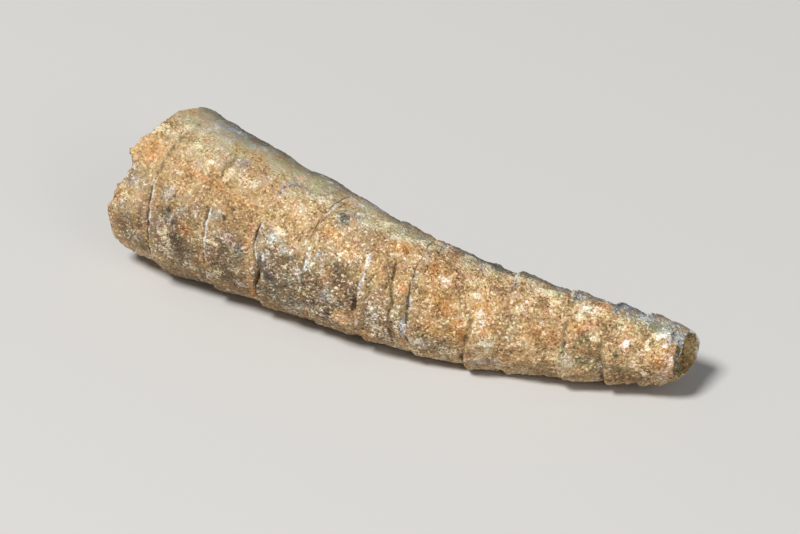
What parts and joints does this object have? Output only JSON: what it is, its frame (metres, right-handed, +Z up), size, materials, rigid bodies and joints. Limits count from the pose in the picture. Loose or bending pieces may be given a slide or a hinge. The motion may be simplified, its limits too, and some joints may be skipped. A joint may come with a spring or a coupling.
{
  "type": "fossil orthoceras",
  "caption": "Slender tapering internal mould of a straight chambered shell, lying on its side, with stepped chamber edges and a dish at each end.",
  "frame": {"origin": "middle of the bounding box in X and Y, on the surface the fossil lies on", "axes": "+X along the fossil from its wide end to its narrow end, +Z up, -Y the better flank"},
  "size_m": [0.06, 0.0174, 0.0159],
  "materials": {
    "limestone": "weathered crystalline limestone, matt, ochre brown with pale calcite grains and olive creases"
  },
  "bodies": {
    "root": {"orthoceras": "limestone"}
  },
  "joints": []
}
